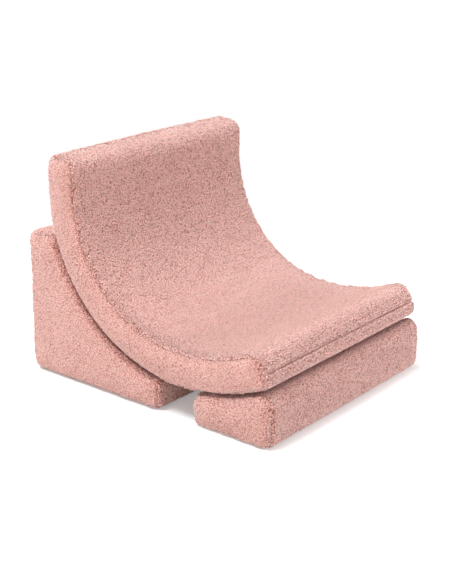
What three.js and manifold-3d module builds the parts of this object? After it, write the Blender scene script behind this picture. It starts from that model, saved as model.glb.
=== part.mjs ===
// Moon chair for a small child, in millimetres, +Z up, facing -Y, symmetric about X = 0.
// A curved pad leans on a wedge behind it and on a low block in front of it.
// Each cushion is a foam core in a sewn pile cover with a zip, and hook and loop strips join the three.
// "Right" and "left" are the sitter's, so the right side is at -X.
import * as THREE from 'three';
import { mergeVertices } from 'three/addons/utils/BufferGeometryUtils.js';
import Module from 'manifold-3d';

const wasm = await Module();
wasm.setup();

const degrees = THREE.MathUtils.degToRad;

// Whole chair
const chairWidth = 500;
const clearance = 0.3; // between pieces that touch in use

// Curved pad, drawn about the axis of its lower back
const padThickness = 70;
const backRadius = 240; // hollow of the seat and lower back
const lapRadius = 380; // flatter hollow towards the knees
const lapSweep = degrees(27.5); // from the lowest point of the seat to the front end
const seatHeight = 132; // lowest point of the seat above the floor
const backRise = 62; // straight upper back, on the sitter's side
const backRiseRear = 68; // and on the rear side, so that the top end slopes forwards
const padEndRadius = 25; // rounding of the end edges on the sitter's side
const padRearEndRadius = 20; // of the top end's rear edge
const padToeRadius = 17; // of the front end's lower edge
const padEdgeRadius = 15; // rounding of the long side edges
const padCrown = 2; // the seat and the ends rise by this towards the middle of the width
const padDrawIn = 1.5; // the long sides are drawn in by this halfway between the ends
const padEndSeam = 27; // seams on both ends, from the underside's edge
const padZipBelowTop = 55; // zip on the rear side, below the rear top edge
const padSeamAngle = degrees(54); // side seam, round the edge from the face

// Wedge behind the pad
const wedgeHeight = 283;
const wedgeBehindPad = 59;
const wedgeNoseSetback = 38; // nose behind the lowest point of the seat
const wedgeCornerRadius = 17;
const wedgeZipHeight = 40;

// Block under the front of the pad
const blockAheadOfPad = 5;
const blockRearSetback = 39; // rear face ahead of the lowest point of the seat
const blockCornerRadius = 17;
const blockLipRadius = 23; // rounding of the upper front edge
const blockTopSeam = 44; // seam on the top, behind the upper front edge
const blockZipHeight = 30;
const blockSeamAngle = degrees(22);

// Both supports
const supportEdgeRadius = 13;
const supportCrown = 2;
const supportDrawIn = 1;
const wedgeSeamAngle = degrees(50);

// Covers
const coverThickness = 5;
const sideCrown = 2; // each side panel swells by this
const sideCrownInset = 10; // from the rounded edge to the swollen part
const seamGap = 0.3;
const seamDip = 1.5;
const seamShoulder = 4; // from a seam to the full height of the panel beside it

// Hook and loop strips between the pad and its supports
const stripThickness = 1.2;
const stripWidth = 25;
const stripInset = 100; // from the side of the chair to the middle of a strip
const wedgeStripFacets = [3, 6]; // first and last facet edge of the back arc
const blockStripFacets = [2, 4]; // and of the lap arc

// Zips, all on faces that look backwards
const zipMargin = 60; // from the side of the chair to the end of a zip
const zipSlotWidth = 16;
const zipSlotRadius = 4;
const tapeThickness = 0.8;
const tapeDepth = 3; // outer face of the tape below the cover's face
const coilWidth = 2.5;
const coilHeight = 1.3;
const coilChamfer = 0.5;
const coilGap = 1.4; // between the two coils
const stopLength = 2;
const sliderLength = 11;
const sliderNoseWidth = 8.6;
const sliderTailWidth = 6.6;
const sliderPlate = 0.9; // thickness of its upper plate
const sliderFloor = 0.8; // and of its lower plate
const sliderFlange = 0.8;
const bridgeWidth = 2;
const bridgeLength = 7;
const bridgeWall = 0.8;
const bridgePlay = 0.4; // between the bridge and the tab's window
const tabLength = 20;
const tabWidth = 5.6;
const tabThickness = 1;
const tabWindow = 4.6; // length of the window round the bridge
const tabHoleRadius = 1.3;

// Facets
const backFacets = 12; // of a quarter turn of the back arc
const lapFacets = 5;
const cornerFacets = 4;
const slotSegments = 3; // of each rounded end of a zip slot
const bridgeSegments = 3;
const tabSegments = 6;

// Worked out from the sizes above
const cushionGap = 2 * stripThickness + 3 * clearance;
const foamDepth = coverThickness + clearance;
const halfWidth = chairWidth / 2;
const zipLength = chairWidth - 2 * zipMargin;
const stripX = halfWidth - stripInset;
const backStep = Math.PI / 2 / backFacets;
const lapStep = lapSweep / lapFacets;
const backCentre = new THREE.Vector2(0, seatHeight + backRadius);
const lapCentre = new THREE.Vector2(0, seatHeight + lapRadius);
const padRear = backRadius + padThickness;
const wedgeRadius = padRear + cushionGap;
const blockRadius = lapRadius + padThickness + cushionGap;
const wedgeRear = padRear + wedgeBehindPad;
const blockRear = -blockRearSetback;
const blockFront = -(lapRadius + padThickness) * Math.sin(lapSweep) - blockAheadOfPad;
const padTop = backCentre.y + backRiseRear;

const colours = { pile: 0xdba59b, foam: 0xf2e8cf, tape: 0xcf9c92, metal: 0xb9b6b2, hook: 0xd8b0a7 };
const pile = new THREE.MeshStandardMaterial({ color: colours.pile, roughness: 1, metalness: 0 });
const foam = new THREE.MeshStandardMaterial({ color: colours.foam, roughness: 0.95, metalness: 0 });
const tape = new THREE.MeshStandardMaterial({ color: colours.tape, roughness: 0.8, metalness: 0 });
const metal = new THREE.MeshStandardMaterial({ color: colours.metal, roughness: 0.35, metalness: 1 });
const hook = new THREE.MeshStandardMaterial({ color: colours.hook, roughness: 0.9, metalness: 0 });

// A side of an outline is a line or an arc in the (y, z) plane. The outline runs anticlockwise.
// An arc's angle is measured from straight down, positive towards the back.
// "swell" is the share of the crown that the side takes, and "seams" are distances along it.

function downward(angle) {
  return new THREE.Vector2(Math.sin(angle), -Math.cos(angle));
}

function lineSide(from, to, swell = 0, seams = []) {
  const along = to.clone().sub(from).normalize();
  const normal = new THREE.Vector2(along.y, -along.x);
  return { from, to, along, normal, swell, seams };
}

function arcSide(centre, radius, start, end, step, swell = 0, seams = []) {
  const hollow = end < start ? -1 : 1;
  const from = downward(start).multiplyScalar(radius).add(centre);
  const to = downward(end).multiplyScalar(radius).add(centre);
  return { centre, radius, start, end, step, hollow, from, to, swell, seams };
}

function meetLines(a, insetA, b, insetB) {
  const p = a.from.clone().addScaledVector(a.normal, -insetA);
  const q = b.from.clone().addScaledVector(b.normal, -insetB);
  const distance = q.sub(p).cross(b.along) / a.along.cross(b.along);
  return p.addScaledVector(a.along, distance);
}

function meetLineAndArc(line, insetLine, arc, insetArc, near) {
  const p = line.from.clone().addScaledVector(line.normal, -insetLine);
  const radius = arc.radius - arc.hollow * insetArc;
  const foot = arc.centre.clone().sub(p).dot(line.along);
  const middle = p.clone().addScaledVector(line.along, foot);
  const reach = Math.sqrt(radius * radius - middle.distanceToSquared(arc.centre));
  const ends = [-reach, reach].map((d) => middle.clone().addScaledVector(line.along, d));
  return ends[0].distanceTo(near) < ends[1].distanceTo(near) ? ends[0] : ends[1];
}

function outwardAt(side, point) {
  if (side.normal) return side.normal.clone();
  return point.clone().sub(side.centre).multiplyScalar(side.hollow).normalize();
}

const smallestRadius = 1; // of a corner that is drawn in past its own radius

// Where two sides meet, a rounded corner stays concentric as the outline is drawn in
function cornerAt(a, b, radius, insetOf) {
  if (radius === 0) {
    const normal = outwardAt(a, a.to);
    const point = a.to.clone().addScaledVector(normal, -insetOf(a));
    return { points: [point], normals: [normal], first: point, last: point };
  }
  const left = Math.max(radius - (insetOf(a) + insetOf(b)) / 2, smallestRadius);
  const insetA = insetOf(a) + left;
  const insetB = insetOf(b) + left;
  let centre;
  if (a.normal && b.normal) centre = meetLines(a, insetA, b, insetB);
  else if (a.normal) centre = meetLineAndArc(a, insetA, b, insetB, a.to);
  else centre = meetLineAndArc(b, insetB, a, insetA, a.to);
  const first = outwardAt(a, centre);
  const last = outwardAt(b, centre);
  const turn = Math.acos(THREE.MathUtils.clamp(first.dot(last), -1, 1));
  return { centre, left, first, turn };
}

function cornerPoint(corner, share) {
  const normal = corner.first.clone().rotateAround(new THREE.Vector2(), corner.turn * share);
  return { point: corner.centre.clone().addScaledVector(normal, corner.left), normal };
}

const gridMargin = degrees(1); // from the end of an arc to its first and last facet edge

// An outline's rings all have the same points, so that they can be joined one to one.
// A ring point that only serves a seam is marked, and left out of the side panels and the foam.
function makeOutline(sides, corners) {
  const count = sides.length;
  const cornersFor = (insetOf) =>
    sides.map((side, k) => cornerAt(side, sides[(k + 1) % count], corners[k].radius, insetOf));
  const nominal = cornersFor(() => 0);
  const endOf = (corner, share) => (corner.points ? corner.points[0] : cornerPoint(corner, share).point);

  function anglesOf(side, before, after) {
    const from = angleOf(side, endOf(before, 1));
    const to = angleOf(side, endOf(after, 0));
    return { from, to };
  }

  function angleOf(side, point) {
    const spoke = point.clone().sub(side.centre);
    return Math.atan2(spoke.x, -spoke.y);
  }

  function gridAngles(side, range) {
    const low = Math.min(range.from, range.to) + gridMargin;
    const high = Math.max(range.from, range.to) - gridMargin;
    const angles = [];
    for (let k = Math.ceil(low / side.step); k * side.step <= high; k += 1) {
      angles.push({ angle: k * side.step });
    }
    for (const seam of side.seams) {
      for (const [offset, mark] of seamOffsets) {
        angles.push({ angle: side.start + (side.hollow * (seam + offset)) / side.radius, mark });
      }
    }
    angles.sort((a, b) => side.hollow * (a.angle - b.angle));
    return angles;
  }

  function ring(insetOf) {
    const corner = cornersFor(insetOf);
    const points = [];
    sides.forEach((side, k) => {
      const before = corner[(k + count - 1) % count];
      const after = corner[k];
      const inset = insetOf(side);
      if (!before.points) points.push({ ...cornerPoint(before, 1) });
      if (side.normal) {
        for (const seam of side.seams) {
          for (const [offset, mark] of seamOffsets) {
            const point = side.from.clone().addScaledVector(side.along, seam + offset);
            point.addScaledVector(side.normal, -inset);
            points.push({ point, normal: side.normal.clone(), mark });
          }
        }
      } else {
        const plan = anglesOf(side, nominal[(k + count - 1) % count], nominal[k]);
        const now = anglesOf(side, before, after);
        const scale = (now.to - now.from) / (plan.to - plan.from);
        for (const { angle, mark } of gridAngles(side, plan)) {
          const spoke = downward(now.from + (angle - plan.from) * scale);
          const point = side.centre.clone().addScaledVector(spoke, side.radius - side.hollow * inset);
          points.push({ point, normal: spoke.multiplyScalar(side.hollow), mark });
        }
      }
      if (after.points) {
        points.push({ point: after.points[0], normal: after.normals[0] });
      } else {
        for (const { share, mark, shared } of cornerShares(corners[k], nominal[k])) {
          points.push({ ...cornerPoint(after, share), mark, shared });
        }
      }
    });
    return points;
  }
  return { ring };
}

const shoulderMark = 'shoulder';
const seamOffsets = [
  [-seamShoulder, shoulderMark],
  [-seamGap / 2, 'seamStart'],
  [seamGap / 2, 'seamEnd'],
  [seamShoulder, shoulderMark],
];

function cornerShares(corner, nominal) {
  const shares = [];
  for (let k = 0; k < cornerFacets; k += 1) {
    if (corner.seam && 2 * k === cornerFacets) {
      const half = seamGap / 2 / (nominal.turn * nominal.left);
      shares.push({ share: 0.5 - half, mark: 'seamStart' });
      shares.push({ share: 0.5 + half, mark: 'seamEnd', shared: true });
    } else {
      shares.push({ share: k / cornerFacets });
    }
  }
  return shares;
}

// A cushion is its outline swept across the width, with rounded long edges and swollen sides.
// A station says where across the width a ring lies; "shell" is the depth below the cover's face.

function stationRing(cushion, station, shell) {
  const { edgeRadius, crown, drawIn, outline, bell } = cushion;
  const flat = halfWidth - sideCrown - edgeRadius;
  const round = edgeRadius - shell;
  const angle = station.angle ?? 0;
  const swollen = station.cap ? 1 : 0;
  const drawn = edgeRadius - round * Math.cos(angle) + swollen * sideCrownInset;
  const insetOf = (side) => side.swell * crown * station.along ** 2 + drawn;
  const x = flat * station.along + round * Math.sin(angle) + swollen * sideCrown;
  return outline.ring(insetOf).map(({ point, normal, mark, shared }) => {
    const waist = 1 - (drawIn * bell(point)) / halfWidth;
    const outward = new THREE.Vector3(
      station.side * Math.sin(angle),
      normal.x * Math.cos(angle),
      normal.y * Math.cos(angle),
    );
    const at = new THREE.Vector3(station.side * x * waist, point.x, point.y);
    return { at, outward, mark, shared };
  });
}

function onBothSides(half) {
  const right = half.map((station) => ({ ...station, side: -1 }));
  const left = half.map((station) => ({ ...station, side: 1 })).reverse();
  return [...right, { along: 0, side: 1 }, ...left];
}

function faceStations(cushion) {
  const { seamAngle, edgeRadius } = cushion;
  const last = seamAngle - seamGap / 2 / edgeRadius;
  const half = [
    { along: 1, angle: last, seam: true },
    { along: 1, angle: last / 2 },
    { along: 1 },
    { along: 0.5 },
  ];
  return onBothSides(half);
}

function sideStations(cushion, side) {
  const first = cushion.seamAngle + seamGap / 2 / cushion.edgeRadius;
  return [
    { along: 1, angle: first, seam: true, side },
    { along: 1, angle: Math.PI / 2, side },
    { along: 1, angle: Math.PI / 2, cap: true, side },
  ];
}

function foamStations(cushion) {
  const half = [
    { along: 1, angle: Math.PI / 2, cap: true },
    { along: 1, angle: Math.PI / 2 },
    { along: 1, angle: cushion.seamAngle },
    { along: 1 },
  ];
  return onBothSides(half);
}

// Triangles of a grid of rings, with the points of one ring after another
function gridTriangles(ringLength, ringCount, closed) {
  const triangles = [];
  const last = closed ? ringLength : ringLength - 1;
  for (let j = 0; j + 1 < ringCount; j += 1) {
    for (let i = 0; i < last; i += 1) {
      const a = j * ringLength + i;
      const b = j * ringLength + ((i + 1) % ringLength);
      triangles.push([a, b, b + ringLength], [a, b + ringLength, a + ringLength]);
    }
  }
  return triangles;
}

function capTriangles(ring, offset) {
  const contour = ring.map((p) => new THREE.Vector2(p.y, p.z));
  return THREE.ShapeUtils.triangulateShape(contour, []).map((t) => t.map((index) => index + offset));
}

function solidFrom(points, triangles) {
  const geometry = new THREE.BufferGeometry();
  geometry.setAttribute('position', new THREE.Float32BufferAttribute(points.flatMap((p) => p.toArray()), 3));
  geometry.setIndex(triangles.flat());
  return geometry;
}

// A patch and its copy inside are closed by a wall along the patch's free edges
function thicken(outer, inner, triangles) {
  const free = new Map();
  for (const triangle of triangles) {
    triangle.forEach((a, k) => {
      const b = triangle[(k + 1) % 3];
      if (!free.delete(`${b} ${a}`)) free.set(`${a} ${b}`, [a, b]);
    });
  }
  const size = outer.length;
  const back = triangles.map(([a, b, c]) => [a + size, c + size, b + size]);
  const walls = [];
  for (const [a, b] of free.values()) walls.push([b, a, a + size], [b, a + size, b + size]);
  return solidFrom([...outer, ...inner], [...triangles, ...back, ...walls]);
}

function dipped(point, byStation) {
  const dips = byStation || point.mark === 'seamStart' || point.mark === 'seamEnd';
  return dips ? point.at.clone().addScaledVector(point.outward, -seamDip) : point.at;
}

// The face panels of a cover lie between its cross seams, in the order of the outline
function facePanels(cushion) {
  const stations = faceStations(cushion);
  const outerRings = stations.map((station) => stationRing(cushion, station, 0));
  const innerRings = stations.map((station) => stationRing(cushion, station, coverThickness));
  const marks = outerRings[0].map(({ mark }) => mark);
  const starts = marks.flatMap((mark, index) => (mark === 'seamEnd' ? [index] : []));
  return starts.map((start) => {
    const indices = [start];
    while (marks[indices.at(-1)] !== 'seamStart') indices.push((indices.at(-1) + 1) % marks.length);
    const outer = outerRings.flatMap((ring, j) => indices.map((i) => dipped(ring[i], stations[j].seam)));
    const inner = innerRings.flatMap((ring) => indices.map((i) => ring[i].at));
    return thicken(outer, inner, gridTriangles(indices.length, stations.length, false));
  });
}

function withoutSeams(ring) {
  return ring.filter(({ mark, shared }) => !mark || shared);
}

function sidePanel(cushion, side) {
  const stations = sideStations(cushion, side);
  const outerRings = stations.map((station) => withoutSeams(stationRing(cushion, station, 0)));
  const innerRings = stations.map((station) => withoutSeams(stationRing(cushion, station, coverThickness)));
  const length = outerRings[0].length;
  const outer = outerRings.flatMap((ring, j) => ring.map((p) => (stations[j].seam ? dipped(p, true) : p.at)));
  const inner = innerRings.flatMap((ring) => ring.map(({ at }) => at));
  const rim = (stations.length - 1) * length;
  const triangles = [...gridTriangles(length, stations.length, true), ...capTriangles(outer.slice(rim), rim)];
  return thicken(outer, inner, side > 0 ? triangles : triangles.map((t) => t.toReversed()));
}

function foamCore(cushion) {
  const stations = foamStations(cushion);
  const rings = stations.map((station) => withoutSeams(stationRing(cushion, station, foamDepth)));
  const points = rings.map((ring) => ring.map(({ at }) => at));
  const length = points[0].length;
  const rim = (stations.length - 1) * length;
  const right = capTriangles(points[0], 0).map((t) => t.toReversed());
  const left = capTriangles(points.at(-1), rim);
  return solidFrom(points.flat(), [...gridTriangles(length, stations.length, true), ...right, ...left]);
}

// Booleans
const mergeDistance = 1e-4;

function toManifold(geometry) {
  const bare = geometry.clone();
  bare.deleteAttribute('normal');
  bare.deleteAttribute('uv');
  const merged = mergeVertices(bare, mergeDistance);
  const vertProperties = new Float32Array(merged.attributes.position.array);
  const triVerts = new Uint32Array(merged.index.array);
  return new wasm.Manifold(new wasm.Mesh({ numProp: 3, vertProperties, triVerts }));
}

function fromManifold(solid) {
  const mesh = solid.getMesh();
  const geometry = new THREE.BufferGeometry();
  geometry.setAttribute('position', new THREE.Float32BufferAttribute(mesh.vertProperties, 3));
  geometry.setIndex([...mesh.triVerts]);
  return geometry;
}

// Extrudes a shape along Z, with its curves in so many segments
function extrudeFlat(shape, depth, curveSegments) {
  return new THREE.ExtrudeGeometry(shape, { depth, bevelEnabled: false, curveSegments });
}

// Extrudes a shape drawn in (y, z) along X, from one x to another
function extrudeAlongX(shape, from, to) {
  const geometry = extrudeFlat(shape, to - from, 1);
  geometry.translate(0, 0, from);
  const quarterTurns = new THREE.Euler(Math.PI / 2, Math.PI / 2, 0);
  geometry.applyMatrix4(new THREE.Matrix4().makeRotationFromEuler(quarterTurns));
  return geometry;
}

function polygon(pairs) {
  return new THREE.Shape(pairs.map(([a, b]) => new THREE.Vector2(a, b)));
}

function namedMesh(name, geometry, material, parent) {
  const mesh = new THREE.Mesh(geometry, material);
  mesh.name = name;
  parent.add(mesh);
  return mesh;
}

// The three cushions

function padCushion() {
  const rearTop = new THREE.Vector2(padRear, padTop);
  const frontTop = new THREE.Vector2(backRadius, backCentre.y + backRise);
  const outerLap = lapRadius + padThickness;
  const toe = downward(-lapSweep).multiplyScalar(outerLap).add(lapCentre);
  const knee = downward(-lapSweep).multiplyScalar(lapRadius).add(lapCentre);
  const rearFoot = new THREE.Vector2(padRear, backCentre.y);
  const frontFoot = new THREE.Vector2(backRadius, backCentre.y);
  const zipAlong = backRiseRear - padZipBelowTop;
  const sides = [
    arcSide(lapCentre, outerLap, -lapSweep, 0, lapStep),
    arcSide(backCentre, padRear, 0, Math.PI / 2, backStep),
    lineSide(rearFoot, rearTop, 0, [zipAlong]),
    lineSide(rearTop, frontTop, 1, [padEndSeam]),
    lineSide(frontTop, frontFoot, 1),
    arcSide(backCentre, backRadius, Math.PI / 2, 0, backStep, 1),
    arcSide(lapCentre, lapRadius, 0, -lapSweep, lapStep, 1),
    lineSide(knee, toe, 1, [padThickness - padEndSeam]),
  ];
  const smooth = { radius: 0 };
  const corners = [
    smooth,
    smooth,
    { radius: padRearEndRadius },
    { radius: padEndRadius },
    smooth,
    smooth,
    { radius: padEndRadius },
    { radius: padToeRadius },
  ];
  const turnOf = (point) => Math.atan2(point.x, backCentre.y - point.y);
  const first = turnOf(knee);
  const last = turnOf(frontTop);
  const bell = (point) => {
    const share = THREE.MathUtils.clamp((turnOf(point) - first) / (last - first), 0, 1);
    return Math.sin(Math.PI * share);
  };
  return {
    outline: makeOutline(sides, corners),
    edgeRadius: padEdgeRadius,
    crown: padCrown,
    drawIn: padDrawIn,
    seamAngle: padSeamAngle,
    bell,
  };
}

function bellBetween(front, rear) {
  return (point) => Math.sin(Math.PI * THREE.MathUtils.clamp((point.x - front) / (rear - front), 0, 1));
}

function wedgeCushion() {
  const nose = wedgeNoseSetback;
  const noseAngle = Math.asin(nose / wedgeRadius);
  const crestAngle = Math.acos((backCentre.y - wedgeHeight) / wedgeRadius);
  const noseTop = downward(noseAngle).multiplyScalar(wedgeRadius).add(backCentre);
  const crest = downward(crestAngle).multiplyScalar(wedgeRadius).add(backCentre);
  const heel = new THREE.Vector2(wedgeRear, 0);
  const rearTop = new THREE.Vector2(wedgeRear, wedgeHeight);
  const noseFoot = new THREE.Vector2(nose, 0);
  const sides = [
    lineSide(noseFoot, heel),
    lineSide(heel, rearTop, 0, [wedgeZipHeight]),
    lineSide(rearTop, crest, 1),
    arcSide(backCentre, wedgeRadius, crestAngle, noseAngle, backStep),
    lineSide(noseTop, noseFoot, 1),
  ];
  const round = { radius: wedgeCornerRadius };
  const sewn = { radius: wedgeCornerRadius, seam: true };
  return {
    outline: makeOutline(sides, [round, round, sewn, round, sewn]),
    edgeRadius: supportEdgeRadius,
    crown: supportCrown,
    drawIn: supportDrawIn,
    seamAngle: wedgeSeamAngle,
    bell: bellBetween(nose, wedgeRear),
  };
}

function blockCushion() {
  const rearAngle = Math.asin(blockRear / blockRadius);
  const frontAngle = Math.asin(blockFront / blockRadius);
  const rearTop = downward(rearAngle).multiplyScalar(blockRadius).add(lapCentre);
  const frontTop = downward(frontAngle).multiplyScalar(blockRadius).add(lapCentre);
  const rearFoot = new THREE.Vector2(blockRear, 0);
  const frontFoot = new THREE.Vector2(blockFront, 0);
  const topSeam = blockRadius * (rearAngle - frontAngle) - blockTopSeam;
  const sides = [
    lineSide(frontFoot, rearFoot),
    lineSide(rearFoot, rearTop, 0, [blockZipHeight]),
    arcSide(lapCentre, blockRadius, rearAngle, frontAngle, lapStep, 0, [topSeam]),
    lineSide(frontTop, frontFoot, 1),
  ];
  const round = { radius: blockCornerRadius };
  const sewn = { radius: blockCornerRadius, seam: true };
  return {
    outline: makeOutline(sides, [round, round, { radius: blockLipRadius }, sewn]),
    edgeRadius: supportEdgeRadius,
    crown: supportCrown,
    drawIn: supportDrawIn,
    seamAngle: blockSeamAngle,
    bell: bellBetween(blockFront, blockRear),
  };
}

// A zip's own frame has X along it, +Y out of the cushion and Z across, with y = 0 on the cover's face

const tapeInner = -tapeDepth - tapeThickness;
const coilTop = -tapeDepth + coilHeight;
const plateBottom = coilTop + clearance;
const plateTop = plateBottom + sliderPlate;
const floorTop = tapeInner - clearance;
const floorBottom = floorTop - sliderFloor;
const coilOuter = coilGap / 2 + coilWidth;
const flangeInner = coilOuter + clearance;
const flangeFoot = -tapeDepth + clearance;
const tabAxis = clearance + tabThickness / 2;
const bridgeInner = tabAxis + tabThickness;
const zipEnd = zipLength / 2;
const sliderTravel = zipLength - 2 * (stopLength + clearance) - sliderLength;

function zipRow(side) {
  const inner = side * (coilGap / 2);
  const outer = side * (zipSlotWidth / 2 - clearance);
  const shoulder = side * coilOuter;
  const chamfer = side * coilChamfer;
  const outline = [
    [tapeInner, inner],
    [tapeInner, outer],
    [-tapeDepth, outer],
    [-tapeDepth, shoulder],
    [coilTop - coilChamfer, shoulder],
    [coilTop, shoulder - chamfer],
    [coilTop, inner + chamfer],
    [coilTop - coilChamfer, inner],
  ];
  return extrudeAlongX(polygon(outline), -zipEnd, zipEnd);
}

// Channel section that closes round both coils, with the post that parts them
function channel(top, bottomPlate, halfPlate, halfPost) {
  const right = [
    [plateBottom, halfPost],
    [plateBottom, flangeInner],
    [flangeFoot, flangeInner],
    [flangeFoot, halfPlate],
    [top, halfPlate],
  ];
  const below = bottomPlate
    ? [
        [floorBottom, 0],
        [floorBottom, coilOuter],
        [floorTop, coilOuter],
        [floorTop, halfPost],
      ]
    : [];
  const half = [...below, ...right];
  const mirrored = half
    .filter(([, across]) => across > 0)
    .map(([out, across]) => [out, -across])
    .reverse();
  return polygon([...half, ...mirrored]);
}

function zipSlider() {
  const halfNose = sliderNoseWidth / 2;
  const halfTail = sliderTailWidth / 2;
  const halfLength = sliderLength / 2;
  const post = coilGap / 2 - clearance;
  const body = toManifold(extrudeAlongX(channel(plateTop, true, halfNose, post), -halfLength, halfLength));
  const plan = new THREE.Shape();
  plan.moveTo(-halfLength, -halfNose + coilChamfer);
  plan.lineTo(-halfLength + coilChamfer, -halfNose);
  plan.lineTo(0, -halfNose);
  plan.lineTo(halfLength, -halfTail);
  plan.lineTo(halfLength, halfTail);
  plan.lineTo(0, halfNose);
  plan.lineTo(-halfLength + coilChamfer, halfNose);
  plan.lineTo(-halfLength, halfNose - coilChamfer);
  const planDepth = 4 * tapeDepth;
  const punch = extrudeFlat(plan, planDepth, 1);
  punch.rotateX(Math.PI / 2);
  punch.translate(0, planDepth / 2, 0);
  const shield = body.intersect(toManifold(punch));

  const half = bridgeLength / 2;
  const top = bridgeInner + bridgeWall;
  const arch = new THREE.Shape();
  arch.moveTo(-half, plateTop - sliderPlate / 2);
  arch.lineTo(half, plateTop - sliderPlate / 2);
  arch.lineTo(half, top - 2 * bridgeWall);
  arch.quadraticCurveTo(half, top, half - 2 * bridgeWall, top);
  arch.lineTo(-half + 2 * bridgeWall, top);
  arch.quadraticCurveTo(-half, top, -half, top - 2 * bridgeWall);
  const opening = new THREE.Path();
  const inside = half - bridgeWall;
  opening.moveTo(-inside, plateTop);
  opening.lineTo(-inside, bridgeInner - bridgeWall);
  opening.lineTo(-inside + bridgeWall, bridgeInner);
  opening.lineTo(inside - bridgeWall, bridgeInner);
  opening.lineTo(inside, bridgeInner - bridgeWall);
  opening.lineTo(inside, plateTop);
  arch.holes.push(opening);
  const bridge = extrudeFlat(arch, bridgeWidth, bridgeSegments);
  bridge.translate(0, 0, -bridgeWidth / 2);
  return fromManifold(shield.add(toManifold(bridge)));
}

// The tab lies along +X from its crossbar, which passes under the slider's bridge at the tab's origin
function pullTab() {
  const half = tabWidth / 2;
  const bar = tabThickness / 2;
  const outline = new THREE.Shape();
  outline.moveTo(-bar, -half);
  outline.lineTo(tabLength - half, -half);
  outline.absarc(tabLength - half, 0, half, -Math.PI / 2, Math.PI / 2, false);
  outline.lineTo(-bar, half);
  const window = new THREE.Path();
  const halfWindow = bridgeWidth / 2 + bridgePlay;
  window.moveTo(bar, -halfWindow);
  window.lineTo(bar, halfWindow);
  window.lineTo(bar + tabWindow, halfWindow);
  window.lineTo(bar + tabWindow, -halfWindow);
  outline.holes.push(window);
  const hole = new THREE.Path();
  hole.absarc(tabLength - half, 0, tabHoleRadius, 0, 2 * Math.PI, true);
  outline.holes.push(hole);
  const tab = extrudeFlat(outline, tabThickness, tabSegments);
  tab.rotateX(Math.PI / 2);
  tab.translate(0, tabThickness / 2, 0);
  return tab;
}

function zipSlot() {
  const across = zipSlotWidth / 2 - zipSlotRadius;
  const corners = [
    [zipEnd, -across],
    [zipEnd, across],
    [-zipEnd, across],
    [-zipEnd, -across],
  ];
  const slot = new THREE.Shape();
  corners.forEach(([x, y], k) => {
    const start = ((k - 1) * Math.PI) / 2;
    slot.absarc(x, y, zipSlotRadius, start, start + Math.PI / 2, false);
  });
  const depth = 4 * coverThickness;
  const cutter = extrudeFlat(slot, depth, slotSegments);
  cutter.rotateX(Math.PI / 2);
  cutter.translate(0, depth / 2, 0);
  return cutter;
}

function addZip(prefix, rear, height, parent) {
  const zip = new THREE.Group();
  zip.position.set(0, rear, height);
  parent.add(zip);
  namedMesh(`${prefix}_zip_tape_lower`, zipRow(-1), tape, zip);
  namedMesh(`${prefix}_zip_tape_upper`, zipRow(1), tape, zip);
  const stopSection = channel(plateBottom + sliderPlate / 2, false, flangeInner + sliderFlange, 0);
  const topStop = namedMesh(`${prefix}_zip_top_stop`, extrudeAlongX(stopSection, 0, stopLength), metal, zip);
  topStop.position.x = -zipEnd;
  const endStop = namedMesh(`${prefix}_zip_end_stop`, extrudeAlongX(stopSection, -stopLength, 0), metal, zip);
  endStop.position.x = zipEnd;
  const slider = new THREE.Group();
  slider.position.x = -sliderTravel / 2;
  zip.add(slider);
  namedMesh(`${prefix}_zip_slider`, zipSlider(), metal, slider);
  const tab = namedMesh(`${prefix}_zip_pull_tab`, pullTab(), metal, slider);
  tab.position.y = tabAxis;
}

function addCushion(prefix, cushion, panelNames, zipRear, zipHeight, group) {
  namedMesh(`${prefix}_foam`, foamCore(cushion), foam, group);
  const cutter = zipSlot();
  cutter.translate(0, zipRear, zipHeight);
  const slot = toManifold(cutter);
  facePanels(cushion).forEach((geometry, k) => {
    const panel = toManifold(geometry).subtract(slot);
    namedMesh(`${prefix}_${panelNames[k]}`, fromManifold(panel), pile, group);
  });
  namedMesh(`${prefix}_side_panel_right`, sidePanel(cushion, -1), pile, group);
  namedMesh(`${prefix}_side_panel_left`, sidePanel(cushion, 1), pile, group);
  addZip(prefix, zipRear, zipHeight, group);
}

// A strip follows the facets of the pad's underside
function stripSolid(centre, radius, step, facets) {
  const [first, last] = facets;
  const inner = [];
  const outer = [];
  for (let k = first; k <= last; k += 1) {
    inner.push(downward(k * step).multiplyScalar(radius).add(centre));
    outer.push(downward(k * step).multiplyScalar(radius + stripThickness).add(centre));
  }
  const shape = new THREE.Shape([...outer, ...inner.reverse()]);
  return extrudeAlongX(shape, -stripWidth / 2, stripWidth / 2);
}

function addStrips(support, centre, padRadius, step, facets, supportGroup, padGroup) {
  const loopRadius = padRadius + clearance;
  const hookRadius = loopRadius + stripThickness + clearance;
  for (const [sideName, side] of [['right', -1], ['left', 1]]) {
    const loop = stripSolid(centre, loopRadius, step, facets);
    const loopMesh = namedMesh(`pad_loop_strip_${support}_${sideName}`, loop, hook, padGroup);
    const hooks = stripSolid(centre, hookRadius, step, facets);
    const hookMesh = namedMesh(`${support}_hook_strip_${sideName}`, hooks, hook, supportGroup);
    loopMesh.position.x = side * stripX;
    hookMesh.position.x = side * stripX;
  }
}

// The chair stands with the middle of its footprint, sliders included, on the origin
const rearmost = wedgeRear + bridgeInner + bridgeWall;
const chair = new THREE.Group();
chair.position.y = -(rearmost + blockFront) / 2;
const wedgeGroup = new THREE.Group();
const padGroup = new THREE.Group();
const blockGroup = new THREE.Group();
chair.add(wedgeGroup, padGroup, blockGroup);

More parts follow.
